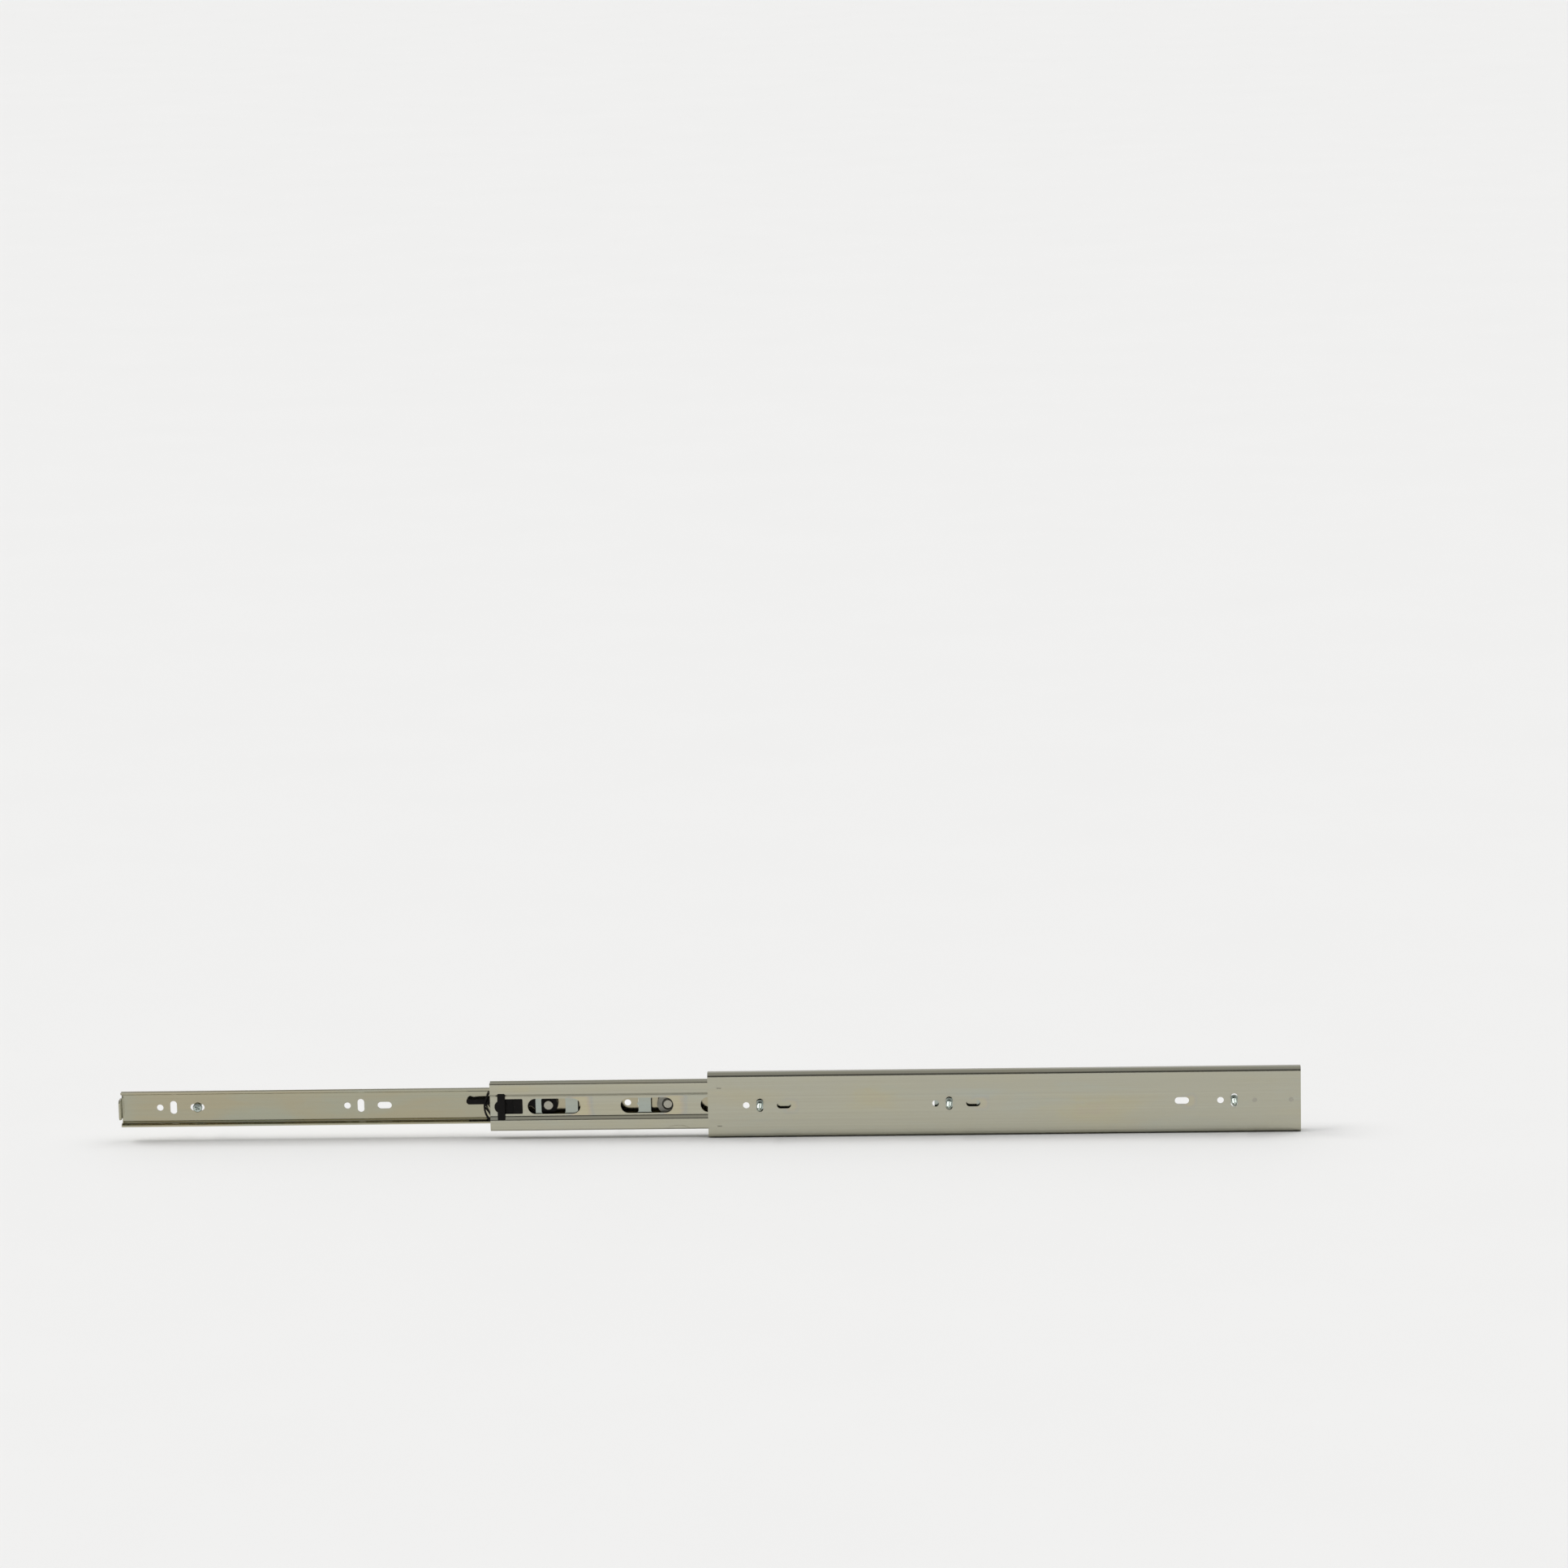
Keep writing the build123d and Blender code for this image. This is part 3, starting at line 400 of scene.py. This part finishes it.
def bent(points, radius, steps):
    """Points along a three-point path whose corner is rounded."""
    a, c, b = (Vector(q) for q in points)
    u, v = (a - c).normalized(), (b - c).normalized()
    half = u.angle(v) / 2
    cut = radius / math.tan(half)
    mid = c + (u + v).normalized() * (radius / math.sin(half))
    s0, s1 = c + u * cut, c + v * cut
    out = [a.lerp(s0, i / 6) for i in range(6)]
    w0, w1 = s0 - mid, s1 - mid
    turn = w0.angle_signed(w1)
    for i in range(steps + 1):
        q = turn * i / steps
        ca, sa = math.cos(-q), math.sin(-q)
        out.append(mid + Vector((w0.x * ca - w0.y * sa, w0.x * sa + w0.y * ca)))
    out += [s1.lerp(b, (i + 1) / 14) for i in range(14)]
    return [(q.x, q.y) for q in out]


PIVOT = -0.1086
leaf_path = bent([(PIVOT - 0.0030, -0.0052), (PIVOT - 0.0075, -0.0074), (PIVOT - 0.0210, -0.0090)], 0.007, 8)
lo_leaf, hi_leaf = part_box("lever_spring_leg")
leaf = ribbon("spring_leaf", leaf_path, 0.0013, 0.000375, (lo_leaf.y + hi_leaf.y) / 2, 0.00018, M["black_plastic"])
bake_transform(leaf)
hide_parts("lever_spring_leg")

# ------------------------------------------------------------------ stage
def floor_material():
    g = Graph("floor_mat")
    n = g.noise(g.pos, 6.0, 4.0, 0.55)
    f = g.noise(g.pos, 900.0, 2.0, 0.5)
    g.put(g.bsdf.inputs["Base Color"], g.ramp(n, [(0.3, (0.812, 0.810, 0.803)), (0.7, (0.820, 0.818, 0.811))]))
    g.bsdf.inputs["Roughness"].default_value = 0.85
    g.bsdf.inputs["Specular IOR Level"].default_value = 0.12
    g.put(g.bsdf.inputs["Normal"], g.bump(f, 0.00002, 0.2))
    return g.mat


bm = bmesh.new()
bmesh.ops.create_grid(bm, x_segments=8, y_segments=8, size=30.0)
fm = bpy.data.meshes.new("floor")
bm.to_mesh(fm)
bm.free()
floor = bpy.data.objects.new("floor", fm)
floor.location = (0.0, 0.0, -0.02252)
fm.materials.append(floor_material())
SCENE.collection.objects.link(floor)

world = bpy.data.worlds.new("studio")
SCENE.world = world
world.use_nodes = True
wt = world.node_tree
wt.nodes.clear()


def wnode(kind, **inputs):
    n = wt.nodes.new(kind)
    for k, v in inputs.items():
        sock = n.inputs[int(k[1:])] if k[0] == "i" else n.inputs[k]
        if hasattr(v, "is_output"):
            wt.links.new(v, sock)
        else:
            sock.default_value = v
    return n


def wramp(v, stops):
    n = wnode("ShaderNodeValToRGB", Fac=v)
    el = n.color_ramp.elements
    while len(el) < len(stops):
        el.new(0.5)
    for e, (p, c) in zip(el, stops):
        e.position, e.color = p, (c, c, c, 1.0)
    return n.outputs["Color"]


# the room: dim behind the viewer, pale behind the object and along the horizon
wdir = wnode("ShaderNodeSeparateXYZ", i0=wt.nodes.new("ShaderNodeTexCoord").outputs["Generated"])
front = wramp(wdir.outputs[2], [(0.0, 0.13), (0.50, 0.10), (0.74, 0.47), (1.0, 0.52)])
back = wramp(wdir.outputs[2], [(0.0, 0.82), (0.45, 0.64), (1.0, 0.52)])
side = wnode("ShaderNodeMapRange", Value=wdir.outputs[1])
side.interpolation_type = "SMOOTHSTEP"
for k, v in (("From Min", -0.45), ("From Max", 0.15), ("To Min", 0.0), ("To Max", 1.0)):
    side.inputs[k].default_value = v
wmix = wt.nodes.new("ShaderNodeMix")
wmix.data_type = "RGBA"
wt.links.new(side.outputs[0], wmix.inputs["Factor"])
wcol = [q for q in wmix.inputs if q.type == "RGBA"]
wt.links.new(front, wcol[0])
wt.links.new(back, wcol[1])
bg = wnode("ShaderNodeBackground", Color=[q for q in wmix.outputs if q.type == "RGBA"][0], Strength=0.9)
wo = wnode("ShaderNodeOutputWorld", Surface=bg.outputs[0])


def sun(name, direction, strength, angle, color=(1, 1, 1)):
    d = bpy.data.lights.new(name, "SUN")
    d.energy = strength
    d.angle = math.radians(angle)
    d.color = color
    o = bpy.data.objects.new(name, d)
    o.rotation_mode = "QUATERNION"
    o.rotation_quaternion = Vector(direction).to_track_quat("-Z", "Y")
    SCENE.collection.objects.link(o)
    return o


def towards(azimuth, elevation):
    """Travel direction of light that comes from that azimuth (0 = from the viewer, 90 = from +X)."""
    a, e = math.radians(azimuth), math.radians(elevation)
    return (-math.sin(a) * math.cos(e), math.cos(a) * math.cos(e), -math.sin(e))


sun("key_light", towards(-95.0, 48.0), 1.70, 40.0)
sun("fill_light", towards(100.0, 56.0), 0.92, 50.0)

# ------------------------------------------------------------------ camera
yaw, pitch, roll = (math.radians(a) for a in (-2.45200355, -11.1035, -1.23228055))
d = Vector((math.sin(yaw) * math.cos(pitch), math.cos(yaw) * math.cos(pitch), math.sin(pitch)))
r = Vector((math.cos(yaw), -math.sin(yaw), 0.0))
u = r.cross(d)
right = r * math.cos(roll) + u * math.sin(roll)
up = -r * math.sin(roll) + u * math.cos(roll)
cam_data = bpy.data.cameras.new("camera")
cam_data.sensor_fit = "HORIZONTAL"
cam_data.sensor_width = 36.0
cam_data.lens = 138.8239
cam_data.clip_start, cam_data.clip_end = 0.05, 200.0
cam = bpy.data.objects.new("camera", cam_data)
cam.matrix_world = Matrix((
    (right.x, up.x, -d.x, 0.226),
    (right.y, up.y, -d.y, -3.965),
    (right.z, up.z, -d.z, 1.000),
    (0.0, 0.0, 0.0, 1.0)))
SCENE.collection.objects.link(cam)
SCENE.camera = cam
SCENE.view_settings.view_transform = "Standard"
SCENE.view_settings.look = "None"
